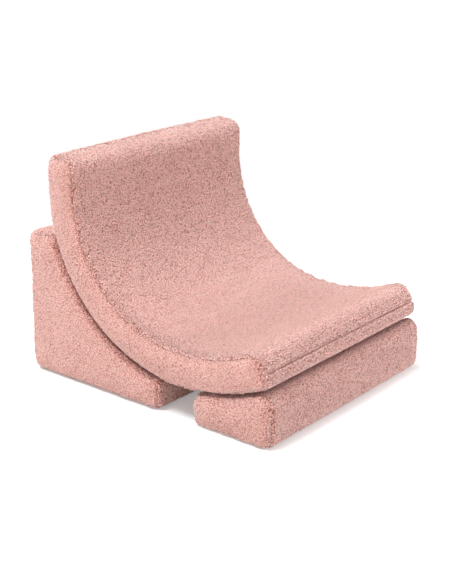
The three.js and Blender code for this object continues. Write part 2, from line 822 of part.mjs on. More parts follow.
const padPanels = ['rear_yoke_panel', 'face_panel', 'underside_panel'];
addCushion('pad', padCushion(), padPanels, padRear, padTop - padZipBelowTop, padGroup);
const wedgePanels = ['back_panel', 'face_panel', 'base_panel'];
addCushion('wedge', wedgeCushion(), wedgePanels, wedgeRear, wedgeZipHeight, wedgeGroup);
const blockPanels = ['top_panel', 'front_panel', 'base_panel'];
addCushion('block', blockCushion(), blockPanels, blockRear, blockZipHeight, blockGroup);
addStrips('wedge', backCentre, padRear, backStep, wedgeStripFacets, wedgeGroup, padGroup);
addStrips('block', lapCentre, lapRadius + padThickness, -lapStep, blockStripFacets, blockGroup, padGroup);

export default chair;
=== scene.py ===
import math
import time

import bmesh
import bpy
import numpy as np
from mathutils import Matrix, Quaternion, Vector
from mathutils.bvhtree import BVHTree
from mathutils.kdtree import KDTree


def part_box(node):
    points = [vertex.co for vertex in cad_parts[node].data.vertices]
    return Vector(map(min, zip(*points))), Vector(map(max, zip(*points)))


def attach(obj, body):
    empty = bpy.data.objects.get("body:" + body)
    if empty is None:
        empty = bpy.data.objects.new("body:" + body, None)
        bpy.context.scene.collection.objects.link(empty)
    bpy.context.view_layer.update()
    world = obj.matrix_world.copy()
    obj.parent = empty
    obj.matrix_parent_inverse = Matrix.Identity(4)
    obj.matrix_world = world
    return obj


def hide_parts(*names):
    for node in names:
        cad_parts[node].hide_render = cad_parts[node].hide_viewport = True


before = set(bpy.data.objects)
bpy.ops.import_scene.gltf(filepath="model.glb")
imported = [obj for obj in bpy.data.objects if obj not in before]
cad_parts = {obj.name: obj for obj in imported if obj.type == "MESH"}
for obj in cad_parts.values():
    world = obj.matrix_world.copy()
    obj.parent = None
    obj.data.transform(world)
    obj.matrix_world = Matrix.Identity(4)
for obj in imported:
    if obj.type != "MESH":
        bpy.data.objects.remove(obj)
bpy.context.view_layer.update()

mm = 0.001

# Camera at the photograph's place
photoView = {
    "place": (-1.76358, -1.39125, 0.95083),
    "azimuth": -51.622,  # degrees, 0 looks along +Y
    "elevation": 18.982,
    "roll": 0.64,
    "lens": 78.69,
    "sensor": 36,
}


def makeCamera(view):
    azimuth, elevation, roll = (math.radians(view[k]) for k in ("azimuth", "elevation", "roll"))
    level = math.cos(elevation)
    ahead = Vector((-math.sin(azimuth) * level, math.cos(azimuth) * level, -math.sin(elevation)))
    data = bpy.data.cameras.new("photoCamera")
    data.lens = view["lens"]
    data.sensor_width = view["sensor"]
    camera = bpy.data.objects.new("photoCamera", data)
    camera.rotation_mode = "QUATERNION"
    camera.location = view["place"]
    camera.rotation_quaternion = ahead.to_track_quat("-Z", "Y") @ Quaternion((0, 0, 1), roll)
    bpy.context.scene.collection.objects.link(camera)
    bpy.context.scene.camera = camera


makeCamera(photoView)
bpy.context.scene.view_settings.view_transform = "Standard"

# Node trees


def addNode(tree, kind, inputs=None, **values):
    node = tree.nodes.new(kind)
    for name, value in values.items():
        setattr(node, name, value)
    for name, value in (inputs or {}).items():
        if isinstance(value, bpy.types.NodeSocket):
            tree.links.new(value, node.inputs[name])
        else:
            node.inputs[name].default_value = value
    return node


def newMaterial(name, **sockets):
    material = bpy.data.materials.new(name)
    material.use_nodes = True
    shader = material.node_tree.nodes["Principled BSDF"]
    for socket, value in sockets.items():
        shader.inputs[socket.replace("_", " ")].default_value = value
    return material, material.node_tree, shader


def maths(tree, operation, a, b=0.0, c=0.0):
    return addNode(tree, "ShaderNodeMath", {0: a, 1: b, 2: c}, operation=operation).outputs[0]


def vectorMaths(tree, operation, inputs):
    return addNode(tree, "ShaderNodeVectorMath", inputs, operation=operation).outputs[0]


def twoTone(tree, shade, dark, light, low=0.0, high=1.0):
    ramp = addNode(tree, "ShaderNodeValToRGB", {"Fac": shade})
    for element, place, colour in zip(ramp.color_ramp.elements, (low, high), (dark, light)):
        element.position = place
        element.color = colour
    return ramp.outputs["Color"]


def finish(tree, shader, colour, height=None, strength=1.0, depth=1 * mm):
    # links the colour and, where there is a height, its bump
    tree.links.new(colour, shader.inputs["Base Color"])
    if height is not None:
        bump = addNode(tree, "ShaderNodeBump", {"Height": height, "Strength": strength, "Distance": depth})
        tree.links.new(bump.outputs["Normal"], shader.inputs["Normal"])


def seenDirectly(tree):
    path = addNode(tree, "ShaderNodeLightPath").outputs
    either = maths(tree, "MAXIMUM", path["Is Camera Ray"], path["Is Glossy Ray"])
    return maths(tree, "MAXIMUM", either, path["Is Transmission Ray"])


# Studio
studio = {
    "ambient": 0.55,
    "ambientColour": (1.0, 0.95, 0.925, 1),
    "lamps": {
        "softKey": {"place": (-1.2, 0.4, 3.2), "size": 1.2, "power": 102, "colour": (0.92, 1.0, 1.03)},
        "softFill": {"place": (-2.6, -1.3, 0.6), "size": 1.8, "power": 19, "colour": (1, 0.93, 0.9)},
        "softFront": {"place": (1.4, -2.2, 0.5), "size": 1.2, "power": 48, "colour": (0.9, 0.95, 0.99)},
        "softBack": {"place": (0.4, 2.4, 1.9), "size": 1.6, "power": 60, "colour": (0.96, 1.0, 1.0)},
    },
    "aim": (0, 0, 0.2),
    "floorColour": (0.85, 0.85, 0.85, 1),
    "floorLift": 0.25,
    "floorHalf": 12,
    "floorWhite": (0.55, 1.1),  # distances between which the floor turns white to the camera
}


def makeStudio(settings):
    world = bpy.data.worlds.new("studio")
    bpy.context.scene.world = world
    world.use_nodes = True
    tree = world.node_tree
    back = tree.nodes["Background"]
    back.inputs["Color"].default_value = settings["ambientColour"]
    back.inputs["Strength"].default_value = settings["ambient"]
    white = addNode(tree, "ShaderNodeBackground", {"Color": (1, 1, 1, 1), "Strength": 1})
    shaders = {0: seenDirectly(tree), 1: back.outputs[0], 2: white.outputs[0]}
    mixed = addNode(tree, "ShaderNodeMixShader", shaders)
    tree.links.new(mixed.outputs[0], tree.nodes["World Output"].inputs["Surface"])

    bm = bmesh.new()
    bmesh.ops.create_grid(bm, x_segments=1, y_segments=1, size=settings["floorHalf"])
    mesh = bpy.data.meshes.new("studioFloor")
    bm.to_mesh(mesh)
    bm.free()
    floor = bpy.data.objects.new("studioFloor", mesh)
    bpy.context.scene.collection.objects.link(floor)
    material, tree, shader = newMaterial("paleFloor", Base_Color=settings["floorColour"], Roughness=1)
    glow = maths(tree, "MULTIPLY", seenDirectly(tree), settings["floorLift"])
    lift = addNode(tree, "ShaderNodeEmission", {"Strength": glow})
    both = addNode(tree, "ShaderNodeAddShader", {0: shader.outputs[0], 1: lift.outputs[0]})
    place = addNode(tree, "ShaderNodeTexCoord").outputs["Object"]
    away = addNode(tree, "ShaderNodeVectorMath", {0: place}, operation="LENGTH").outputs["Value"]
    near, far = settings["floorWhite"]
    fade = addNode(tree, "ShaderNodeMapRange", {"Value": away, "From Min": near, "From Max": far})
    white = addNode(tree, "ShaderNodeEmission", {"Strength": 1})
    share = maths(tree, "MULTIPLY", fade.outputs["Result"], seenDirectly(tree))
    mixed = addNode(tree, "ShaderNodeMixShader", {0: share, 1: both.outputs[0], 2: white.outputs[0]})
    tree.links.new(mixed.outputs[0], tree.nodes["Material Output"].inputs["Surface"])
    mesh.materials.append(material)

    for name, lamp in settings["lamps"].items():
        data = bpy.data.lights.new(name, "AREA")
        data.size = lamp["size"]
        data.energy = lamp["power"]
        data.color = lamp["colour"]
        light = bpy.data.objects.new(name, data)
        light.location = lamp["place"]
        light.rotation_mode = "QUATERNION"
        light.rotation_quaternion = (Vector(settings["aim"]) - light.location).to_track_quat("-Z", "Y")
        bpy.context.scene.collection.objects.link(light)


makeStudio(studio)
print("studio ready")

# Curly pile
pile = {
    "tip": (0.85, 0.478, 0.419, 1),
    # painted shade: the colour the pile darkens to in the creases between tufts and curls
    "creaseShade": (0.32, 0.095, 0.073, 1),
    "ramp": (0.34, 0.78),  # shades at which the painted crease shade's and the tip's colour are full
    "tuft": 3.7 * mm,  # across one tuft
    "curl": 2.0 * mm,  # and one curl in it
    "curlSmooth": 0.35,
    "crease": 5,  # how narrow the creases between tufts are
    "wander": 1.4 * mm,  # the tufts are bent by this
    "wanderScale": 0.7,  # bends in one tuft
    "creaseShare": 0.5,  # parts that crease and curl have in the height
    "curlShare": 0.6,
    "level": 0.58,  # mean height
    "calm": 0.6,  # contrast of the painted shade in the pile's creases where the pile lies flat
    "open": 1.4,  # and where it stands open, in grazing light or beside a neighbour
    "seamShade": 0.12,  # painted shade along a seam's groove and in the gap beside a neighbour
    "mottle": 60 * mm,
    "mottleShare": 0.1,
    "bumpDepth": 2.6 * mm,
    "bumpLeast": 0.5,
    "bumpMore": 0.35,  # added in proportion to the contrast
    "sheen": 0.85,
    "sheenRoughness": 0.35,
    "sheenTint": (1, 0.98, 0.97, 1),
    "specular": 0.1,
}


def curlPattern(tree, place, settings):
    # the same nodes shape the cover and colour it, so that creases and the painted shade in them agree
    scale = 1 / settings["tuft"]
    warp = addNode(
        tree, "ShaderNodeTexNoise", {"Vector": place, "Scale": settings["wanderScale"] * scale, "Detail": 1}
    ).outputs["Color"]
    centred = vectorMaths(tree, "SUBTRACT", {0: warp, 1: (0.5, 0.5, 0.5)})
    moved = vectorMaths(tree, "SCALE", {0: centred, "Scale": 2 * settings["wander"]})
    bent = vectorMaths(tree, "ADD", {0: place, 1: moved})
    edge = addNode(
        tree, "ShaderNodeTexVoronoi", {"Vector": bent, "Scale": scale}, feature="DISTANCE_TO_EDGE"
    ).outputs["Distance"]
    crease = maths(tree, "MINIMUM", maths(tree, "MULTIPLY", edge, settings["crease"]), 1.0)
    curls = addNode(
        tree,
        "ShaderNodeTexVoronoi",
        {"Vector": bent, "Scale": 1 / settings["curl"], "Smoothness": settings["curlSmooth"]},
        feature="SMOOTH_F1",
    ).outputs["Distance"]
    return crease, maths(tree, "SUBTRACT", 1.0, curls)


def makePile(settings):
    material, tree, shader = newMaterial(
        "curlyPile",
        Roughness=1,
        Sheen_Weight=settings["sheen"],
        Sheen_Roughness=settings["sheenRoughness"],
        Sheen_Tint=settings["sheenTint"],
        Specular_IOR_Level=settings["specular"],
    )
    skin = addNode(tree, "ShaderNodeAttribute", attribute_name="skin").outputs["Vector"]
    lively = addNode(tree, "ShaderNodeAttribute", attribute_name="lively").outputs["Fac"]
    seamAndGapShade = addNode(tree, "ShaderNodeAttribute", attribute_name="seamAndGapShade").outputs["Fac"]
    crease, curls = curlPattern(tree, skin, settings)
    height = maths(tree, "MULTIPLY", curls, settings["curlShare"])
    height = maths(tree, "MULTIPLY_ADD", crease, settings["creaseShare"], height)
    mottle = addNode(
        tree, "ShaderNodeTexNoise", {"Vector": skin, "Scale": 1 / settings["mottle"], "Detail": 2}
    ).outputs["Fac"]
    # the painted crease shade is deeper where the pile stands open, in grazing light and beside a neighbour
    contrast = maths(tree, "MULTIPLY_ADD", lively, settings["open"] - settings["calm"], settings["calm"])
    swing = maths(tree, "MULTIPLY", maths(tree, "SUBTRACT", height, settings["level"]), contrast)
    shade = maths(tree, "ADD", swing, settings["level"])
    shade = maths(tree, "MULTIPLY_ADD", mottle, settings["mottleShare"], shade)
    # painted shade along the seam grooves and in the gap beside a neighbour
    shade = maths(tree, "MULTIPLY_ADD", seamAndGapShade, -settings["seamShade"], shade)
    # the colour runs from the painted crease shade to the tip's colour
    colour = twoTone(tree, shade, settings["creaseShade"], settings["tip"], *settings["ramp"])
    strength = maths(tree, "MULTIPLY_ADD", contrast, settings["bumpMore"], settings["bumpLeast"])
    finish(tree, shader, colour, height, strength, settings["bumpDepth"])
    return material


def makeCurlNodes(settings):
    tree = bpy.data.node_groups.new("curls", "GeometryNodeTree")
    for way in ("INPUT", "OUTPUT"):
        tree.interface.new_socket("Geometry", in_out=way, socket_type="NodeSocketGeometry")
    shape = tree.nodes.new("NodeGroupInput").outputs[0]
    place = addNode(tree, "GeometryNodeInputPosition").outputs[0]
    crease, curls = curlPattern(tree, place, settings)
    stored = (("crease", "FLOAT", crease), ("curls", "FLOAT", curls), ("skin", "FLOAT_VECTOR", place))
    for name, kind, value in stored:
        inputs = {"Geometry": shape, "Name": name, "Value": value}
        store = addNode(tree, "GeometryNodeStoreNamedAttribute", inputs, data_type=kind, domain="POINT")
        shape = store.outputs[0]
    tree.links.new(shape, tree.nodes.new("NodeGroupOutput").inputs[0])
    return tree


curlyPile = makePile(pile)
curlNodes = makeCurlNodes(pile)

# Helpers for meshes


def nodeMesh(*names):
    bm = bmesh.new()
    for name in names:
        bm.from_mesh(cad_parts[name].data)
    bmesh.ops.remove_doubles(bm, verts=bm.verts, dist=0.01 * mm)
    return bm


def newObject(name, bm, material):
    mesh = bpy.data.meshes.new(name)
    bm.to_mesh(mesh)
    bm.free()
    mesh.materials.append(material)
    piece = bpy.data.objects.new(name, mesh)
    bpy.context.scene.collection.objects.link(piece)
    return piece


def settle(piece):
    # applies the piece's modifiers
    graph = bpy.context.evaluated_depsgraph_get()
    old = piece.data
    piece.data = bpy.data.meshes.new_from_object(piece.evaluated_get(graph))
    piece.modifiers.clear()
    bpy.data.meshes.remove(old)


def places(mesh):
    flat = np.empty(3 * len(mesh.vertices))
    mesh.vertices.foreach_get("co", flat)
    return flat.reshape(-1, 3)


def outwards(mesh):
    flat = np.empty(3 * len(mesh.vertices))
    mesh.vertex_normals.foreach_get("vector", flat)
    return flat.reshape(-1, 3)


def moveTo(mesh, points):
    mesh.vertices.foreach_set("co", points.astype(np.float32).ravel())
    mesh.update()


def smoothStep(low, high, value):
    share = np.clip((value - low) / (high - low), 0, 1)
    return share * share * (3 - 2 * share)


def surfaceOf(*names):
    bm = nodeMesh(*names)
    tree = BVHTree.FromBMesh(bm)
    bm.free()
    return tree


def distanceTo(tree, points, reach):
    found = np.full(len(points), reach)
    for k, point in enumerate(points):
        distance = tree.find_nearest(Vector(point), reach)[3]
        if distance is not None:
            found[k] = distance
    return found


def clearOf(tree, points, normals, room):
    # lifts the points that lie in the surface, or less than the room above it
    for k, point in enumerate(points):
        nearest, _, _, distance = tree.find_nearest(Vector(point), 2 * room)
        if nearest is not None:
            above = distance if np.dot(point - nearest, normals[k]) > 0 else -distance
            points[k] += normals[k] * max(0, room - above)


# Noise worked out for all points at once, the same on every run
def cellNumbers(cells, channel):
    n = cells[:, 0] * 73856093 ^ cells[:, 1] * 19349663 ^ cells[:, 2] * 83492791 ^ (channel + 1) * 668265263
    for shift, factor in ((15, 2246822519), (13, 3266489917)):
        n &= 0xFFFFFFFF
        n = (n ^ (n >> shift)) * factor
    n &= 0xFFFFFFFF
    return (n ^ (n >> 16)) / 2**32


def softNoise(points, size, channel=0):
    place = points / size
    cell = np.floor(place).astype(np.int64)
    part = smoothStep(0, 1, place - cell)
    total = np.zeros(len(points))
    for corner in np.ndindex(2, 2, 2):
        weight = np.prod(np.where(corner, part, 1 - part), axis=1)
        total += weight * cellNumbers(cell + corner, channel)
    return 2 * total - 1


# Seams lie where two panels of a cover come within a seam gap of each other
seamGap = 0.6 * mm
seamStep = 1 * mm


def seamPoints(panels):
    points = []
    for panel in panels:
        others = surfaceOf(*(p for p in panels if p != panel))
        bm = nodeMesh(panel)
        sewn = {v for v in bm.verts if others.find_nearest(v.co, seamGap)[3] is not None}
        for edge in bm.edges:
            a, b = edge.verts
            if a in sewn and b in sewn and edge.calc_length() > 2 * seamStep:
                steps = max(1, int(edge.calc_length() / seamStep))
                points += [a.co.lerp(b.co, s / steps) for s in range(steps + 1)]
        bm.free()
    tree = KDTree(len(points))
    for k, point in enumerate(points):
        tree.insert(point, k)
    tree.balance()
    return tree


# Covers: the foam's face, blown up as cloth, then seams, lumps and curls
cover = {
    "voxel": 6.4 * mm,
    "rounding": 1,  # smoothing steps, which soften the foam's edges
    "depth": 4.6 * mm,  # from the foam's face to the cover's
    "overFoam": 1.6 * mm,  # and the least of it
    "side": (0.2, 0.8),  # shares of X in a normal, between which the cover turns into a side
    "sideOut": {"pad": 3.8 * mm, "wedge": 0.2 * mm, "block": 1.8 * mm},  # the sides stand out by this
    "reach": 20 * mm,  # a neighbour is looked for this far away
    "contact": (4 * mm, 18 * mm),  # pressed by a neighbour at the first distance, free at the second
    "contactIn": 0.9 * mm,  # pressed in by this
    "floor": (1 * mm, 6 * mm),  # resting on the floor at the first height, free at the second
    "stripIn": 1.0 * mm,  # pressed in by this under a strip
    "stripEdge": (0.9 * mm, 3 * mm),
    "pressure": 4,
    "frames": 16,
    "quality": 4,
    "mass": 0.3,
    "stretch": 12,
    "shear": 8,
    "bending": 2,
    "held": (2 * mm, 9 * mm),  # the cloth is held at this distance from a seam, and free at the second
    "swell": 2.5 * mm,  # the most that a face may swell between its seams
    "grooveDepth": 2.1 * mm,
    "grooveWidth": 3.0 * mm,
    "pucker": 1.8 * mm,
    "puckerSize": 7 * mm,
    "puff": 0.5 * mm,  # shoulder beside the seam
    "puffAt": 6 * mm,
    "puffWidth": 3 * mm,
    "lump": 38 * mm,
    "lumpDepth": 0.5 * mm,
    "lively": 26 * mm,  # the pile stands open, with deeper painted crease shade, this far from a seam
    "flatSide": (0.5, 0.95),  # shares of X in a normal, between which the pile lies flat, with weaker painted crease shade
    "sideLess": 0.8,  # less open there by this share
    "sideCalm": {"pad": 0.3, "wedge": 0.15, "block": 0},  # and by this much
    "front": (0.3, 0.9),  # shares of -Y in a normal, between which the pile stands open and gets deeper painted crease shade, as on faces in grazing light
    "frontLively": 0.9,
    "contactLess": 0.5,
    "pileProud": 3.1 * mm,
    "contactProud": 1.2 * mm,
    "pileParts": (0.1, 0.5, 0.5),  # of an even layer, the creases and the curls
    "grooveLess": 0.8,  # lower in a seam by this share
    "calmPile": 0.75,
    "openPile": 0.5,  # added where the pile stands open
    "rimRise": (1.2 * mm, 4 * mm),  # beside the contact the cover bulges, from these distances
    "rimFall": (9 * mm, 18 * mm),  # to these
    "rimSide": (0.1, 0.6),  # fully at the sides only
    "rimLeast": 0.15,
    "rimOut": {"pad": 0, "wedge": 0.15, "block": 0.4},  # by this share of the gap
    "rimMost": 8 * mm,
    "rimDepth": (3.4 * mm, 17 * mm),  # and towards the gap the pile stands open and gets painted shade
    # painted shade in the gap beside a neighbour, per cover
    "rimShade": {"pad": 0, "wedge": 2.2, "block": 0.9},
    "rimOpen": {"pad": 0, "wedge": 1, "block": 1},
    # how strong the painted shade in the seam grooves is, per cover
    "seamShadeScale": {"pad": 1, "wedge": 1, "block": 1.5},
    "seamEven": 0.6,  # the rest of the seam's painted shade comes and goes with the puckers
    "bakeMargin": 8 * mm,
}


def blowUp(piece, held, limit):
    # cloth under pressure swells between its seams, and held is 1 where a point may not move
    start, normals = places(piece.data), outwards(piece.data)
    pins = piece.vertex_groups.new(name="pins")
    for k in np.nonzero(held > 0.01)[0]:
        pins.add([int(k)], float(held[k]), "REPLACE")
    cloth = piece.modifiers.new("Cloth", "CLOTH")
    cloth.settings.quality = cover["quality"]
    cloth.settings.mass = cover["mass"]
    cloth.settings.tension_stiffness = cloth.settings.compression_stiffness = cover["stretch"]
    cloth.settings.shear_stiffness = cover["shear"]
    cloth.settings.bending_stiffness = cover["bending"]
    cloth.settings.vertex_group_mass = "pins"
    cloth.settings.use_pressure = True
    cloth.settings.uniform_pressure_force = cover["pressure"]
    cloth.settings.effector_weights.gravity = 0
    cloth.point_cache.frame_end = cover["frames"]
    for step in range(1, cover["frames"] + 1):
        bpy.context.scene.frame_set(step)
    settle(piece)
    bpy.context.scene.frame_set(1)
    moved = places(piece.data) - start
    out = np.maximum(0, np.sum(moved * normals, axis=1))
    out = limit * (1 - np.exp(-out / np.maximum(limit, 1e-9)))
    moveTo(piece.data, start + normals * out[:, None])
    piece.vertex_groups.clear()
    return out


def keep(mesh, name, values):
    kind, part = ("FLOAT", "value") if values.ndim == 1 else ("FLOAT_VECTOR", "vector")
    mesh.attributes.new(name, kind, "POINT").data.foreach_set(part, values.astype(np.float32).ravel())


def kept(mesh, name):
    isVector = mesh.attributes[name].data_type == "FLOAT_VECTOR"
    values = np.empty(len(mesh.vertices) * (3 if isVector else 1), np.float32)
    mesh.attributes[name].data.foreach_get("vector" if isVector else "value", values)
    mesh.attributes.remove(mesh.attributes[name])
    return values.astype(float).reshape(-1, 3) if isVector else values.astype(float)


def roomFor(points, node, edge):
    # 1 for points near the node's box, and 0 from the edge's second distance outwards
    low, high = (np.array(c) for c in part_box(node))
    away = np.maximum(np.maximum(low - points, points - high), 0)
    return 1 - smoothStep(*edge, np.linalg.norm(away, axis=1))


def bakeMap(mesh, points, normals):
    # six flat projections side by side, a map for baked textures
    axis = np.argmax(np.abs(normals), axis=1)
    side = 2 * axis + (np.take_along_axis(normals, axis[:, None], 1)[:, 0] > 0)
    corners = np.empty(len(mesh.loops), np.int32)
    mesh.loops.foreach_get("vertex_index", corners)
    starts = np.empty(len(mesh.polygons), np.int32)
    mesh.polygons.foreach_get("loop_start", starts)
    faceOf = np.searchsorted(starts, np.arange(len(corners)), side="right") - 1
    group = side[corners[starts]][faceOf]
    flat = np.empty((len(corners), 2))
    boxes = []
    for k in range(6):
        across, up = ((1, 2), (0, 2), (0, 1))[k // 2]
        own = group == k
        flat[own] = points[corners[own]][:, (across, up)]
        low = flat[own].min(axis=0)
        flat[own] -= low
        boxes.append(flat[own].max(axis=0) + cover["bakeMargin"])
    boxes = np.array(boxes)
    column = boxes[0::2, 0].max()
    for k in range(6):
        flat[group == k] += (column * (k % 2), boxes[: 2 * (k // 2), 1].reshape(-1, 2).max(axis=1).sum())
    flat /= flat.max() + cover["bakeMargin"]
    mesh.uv_layers.new(name="OFBake").data.foreach_set("uv", flat.astype(np.float32).ravel())


def pressedBy(near):
    return 1 - smoothStep(*cover["contact"], near)


def onFloor(points):
    return 1 - smoothStep(*cover["floor"], points[:, 2])


def atRim(near):
    return 1 - smoothStep(*cover["rimDepth"], near)


def coarseCover(prefix, seams, touching):
    # keeps on the points how near a neighbour is and how far they were moved
    piece = newObject(prefix + "_cover", nodeMesh(prefix + "_foam"), curlyPile)
    remesh = piece.modifiers.new("Remesh", "REMESH")
    remesh.mode = "VOXEL"
    remesh.voxel_size = cover["voxel"]
    offset = piece.modifiers.new("Offset", "DISPLACE")
    offset.strength = cover["depth"]
    offset.mid_level = 0
    rounding = piece.modifiers.new("Rounding", "SMOOTH")
    rounding.factor = 0.5
    rounding.iterations = cover["rounding"]
    settle(piece)

    start, normals = places(piece.data), outwards(piece.data)
    near = distanceTo(surfaceOf(*touching), start, cover["reach"])
    sideways = smoothStep(*cover["side"], np.abs(normals[:, 0]))
    moveTo(piece.data, start + normals * (sideways * cover["sideOut"][prefix])[:, None])
    fromSeam = np.array([seams.find(Vector(p))[2] for p in start])
    held = 1 - smoothStep(*cover["held"], fromSeam)
    free = 1 - np.maximum(pressedBy(near), onFloor(start))
    out = blowUp(piece, held, cover["swell"] * free)
    print(prefix, "cover blown up by", round(1000 * out.mean(), 1), "mm on average")
    keep(piece.data, "near", near)
    keep(piece.data, "moved", places(piece.data) - start)

    fine = piece.modifiers.new("Subdivision", "SUBSURF")
    fine.levels = fine.render_levels = 2
    piece.modifiers.new("Curls", "NODES").node_group = curlNodes
    settle(piece)
    return piece


def livelyAt(prefix, normals, fromSeam, near):
    # how open the pile stands and how deep the painted shade in its creases is, which is most at seams, on
    # faces turned to -Y in grazing light and beside a neighbour
    flat = smoothStep(*cover["flatSide"], np.abs(normals[:, 0]))
    atSeam = np.exp(-((fromSeam / cover["lively"]) ** 2)) * (1 - cover["sideLess"] * flat)
    front = cover["frontLively"] * smoothStep(*cover["front"], -normals[:, 1])
    lively = np.maximum(atSeam, front) * (1 - cover["contactLess"] * pressedBy(near))
    return np.maximum(lively - cover["sideCalm"][prefix] * flat, cover["rimOpen"][prefix] * atRim(near))


def seamRelief(groove, fromSeam, pucker):
    puff = np.exp(-(((fromSeam - cover["puffAt"]) / cover["puffWidth"]) ** 2))
    dip = cover["grooveDepth"] + cover["pucker"] * np.abs(pucker)
    return puff * (cover["puff"] + cover["pucker"] * pucker) - groove * dip


def pileRelief(groove, contact, crease, curls, lively):
    proud = cover["pileProud"] * (1 - contact) + cover["contactProud"] * contact
    even, creased, curled = cover["pileParts"]
    tufts = proud * (even + creased * crease + curled * curls) * (1 - cover["grooveLess"] * groove)
    return tufts * (cover["calmPile"] + cover["openPile"] * lively)


def rimRelief(prefix, normals, near):
    beside = smoothStep(*cover["rimRise"], near) * (1 - smoothStep(*cover["rimFall"], near))
    least = cover["rimLeast"]
    beside *= least + (1 - least) * smoothStep(*cover["rimSide"], np.abs(normals[:, 0]))
    return beside * cover["rimOut"][prefix] * np.minimum(near, cover["rimMost"])


def makeCover(prefix, neighbours):
    began = time.time()
    panels = [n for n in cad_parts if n.startswith(prefix) and "panel" in n]
    touching = [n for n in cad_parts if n.startswith(neighbours) and "panel" in n]
    strips = [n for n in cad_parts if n.startswith(prefix) and "strip" in n]
    seams = seamPoints(panels)
    piece = coarseCover(prefix, seams, touching)
    mesh = piece.data
    points, normals = places(mesh), outwards(mesh)
    bakeMap(mesh, points, normals)
    near, crease, curls, moved = (kept(mesh, name) for name in ("near", "crease", "curls", "moved"))
    fromSeam = np.array([seams.find(Vector(p))[2] for p in points - moved])
    contact = pressedBy(near)
    groove = 1 - smoothStep(0, cover["grooveWidth"], fromSeam)
    pucker = softNoise(points, cover["puckerSize"])
    lively = livelyAt(prefix, normals, fromSeam, near)

    height = seamRelief(groove, fromSeam, pucker)
    height += pileRelief(groove, contact, crease, curls, lively)
    height += cover["lumpDepth"] * softNoise(points, cover["lump"], 1) * (1 - contact)
    height -= cover["contactIn"] * contact
    height += rimRelief(prefix, normals, near)
    pressed = np.max([roomFor(points, node, cover["stripEdge"]) for node in strips], axis=0)
    height = height * (1 - pressed) - cover["stripIn"] * pressed
    points += normals * (height * (1 - onFloor(points)))[:, None]
    clearOf(surfaceOf(prefix + "_foam"), points, normals, cover["overFoam"])
    points[:, 2] = np.maximum(points[:, 2], 0)
    moveTo(mesh, sinkZip(points, prefix))

    # painted shade in the seam grooves and their puckers, and in the gap beside a neighbour
    even = cover["seamEven"]
    seamGrooveShade = cover["seamShadeScale"][prefix] * groove * (even + (1 - even) * pucker) * (1 - contact)
    keep(mesh, "seamAndGapShade", np.maximum(seamGrooveShade, cover["rimShade"][prefix] * atRim(near)))
    keep(mesh, "lively", lively)
    mesh.shade_smooth()

    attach(piece, prefix)
    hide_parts(*panels)
    print(prefix, "cover done", round(time.time() - began, 1), "s", len(points), "points")


# Foam cores inside the covers
foam = {
    "colour": (0.86, 0.79, 0.62, 1),
    # painted shade in the foam's pores
    "poreShade": (0.62, 0.53, 0.36, 1),
    "poreSize": 1.6 * mm,
    "uneven": 12,  # clouds in a metre
    "unevenShare": 0.4,
    "ramp": (0.25, 0.6),
    "bump": (0.8, 0.5 * mm),
}


def makeFoam(settings):
    material, tree, shader = newMaterial("openFoam", Roughness=0.95)
    place = addNode(tree, "ShaderNodeTexCoord").outputs["Object"]
    pores = addNode(
        tree, "ShaderNodeTexVoronoi", {"Vector": place, "Scale": 1 / settings["poreSize"]}
    ).outputs["Distance"]
    uneven = addNode(
        tree, "ShaderNodeTexNoise", {"Vector": place, "Scale": settings["uneven"], "Detail": 3}
    ).outputs["Fac"]
    # the pores are painted darker as shade in the cells
    shade = maths(tree, "MULTIPLY_ADD", uneven, settings["unevenShare"], pores)
    colour = twoTone(tree, shade, settings["poreShade"], settings["colour"], *settings["ramp"])
    finish(tree, shader, colour, pores, *settings["bump"])
    return material


openFoam = makeFoam(foam)


def makeCore(prefix):
    bm = nodeMesh(prefix + "_foam")
    bmesh.ops.recalc_face_normals(bm, faces=bm.faces)
    for face in bm.faces:
        face.smooth = True
    core = newObject(prefix + "_core", bm, openFoam)
    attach(core, prefix)
    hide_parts(prefix + "_foam")


# Zips: two tapes with their teeth in a channel of the cover, two stops, a slider and its tab
zipper = {
    "halfHeight": 8 * mm,  # of the channel
    "channelEnd": 194 * mm,
    "floorUnder": 1.3 * mm,  # channel floor below the tape
    "tabHalf": 5 * mm,  # half height of the flattened pile that the tab lies on
    "tabEnd": 206 * mm,
    "tabRoom": 0.5 * mm,
    "slotEdge": 0.8 * mm,
    "reach": 14 * mm,  # points this far below the tape belong to the channel's face
    "tape": 0.8 * mm,
    "tapeBevel": 0.15 * mm,
    "barSunk": 0.2 * mm,  # teeth and stitches start this far in the tape
    "toothMargin": 3 * mm,
    "toothPitch": 2.0 * mm,
    "toothWide": 1.15 * mm,
    "toothFrom": 0.45 * mm,  # from the middle of the zip
    "toothLong": 2.7 * mm,
    "toothBevel": 0.3 * mm,
    "stitchPitch": 4 * mm,
    "stitchLong": 2.6 * mm,
    "stitchWide": 0.5 * mm,
    "stitchAt": 5.0 * mm,  # from the middle of the zip
    "stitchProud": 0.25 * mm,
    "stitchBevel": 0.1 * mm,
    "fittingBevel": 0.15 * mm,
    "weave": 0.7 * mm,
    "weaveBump": (0.6, 0.15 * mm),
    "cloth": (0.66, 0.36, 0.31, 1),
    "clothDark": (0.42, 0.19, 0.16, 1),
    "nylon": (0.70, 0.40, 0.35, 1),
    "nylonClouds": 300,  # in a metre
    "nickel": (0.72, 0.70, 0.67, 1),
    "nickelDark": (0.50, 0.48, 0.45, 1),
    "nickelRamp": (0.3, 0.6),
    "nickelClouds": 400,
    "brushed": (200, 2500, 2500),  # lines in a metre
    "brushBump": (0.2, 0.05 * mm),
    "roughness": (0.25, 0.2),  # swing and least
}


def zipMiddle(prefix):
    return (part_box(prefix + "_zip_tape_upper")[0][2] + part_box(prefix + "_zip_tape_lower")[1][2]) / 2


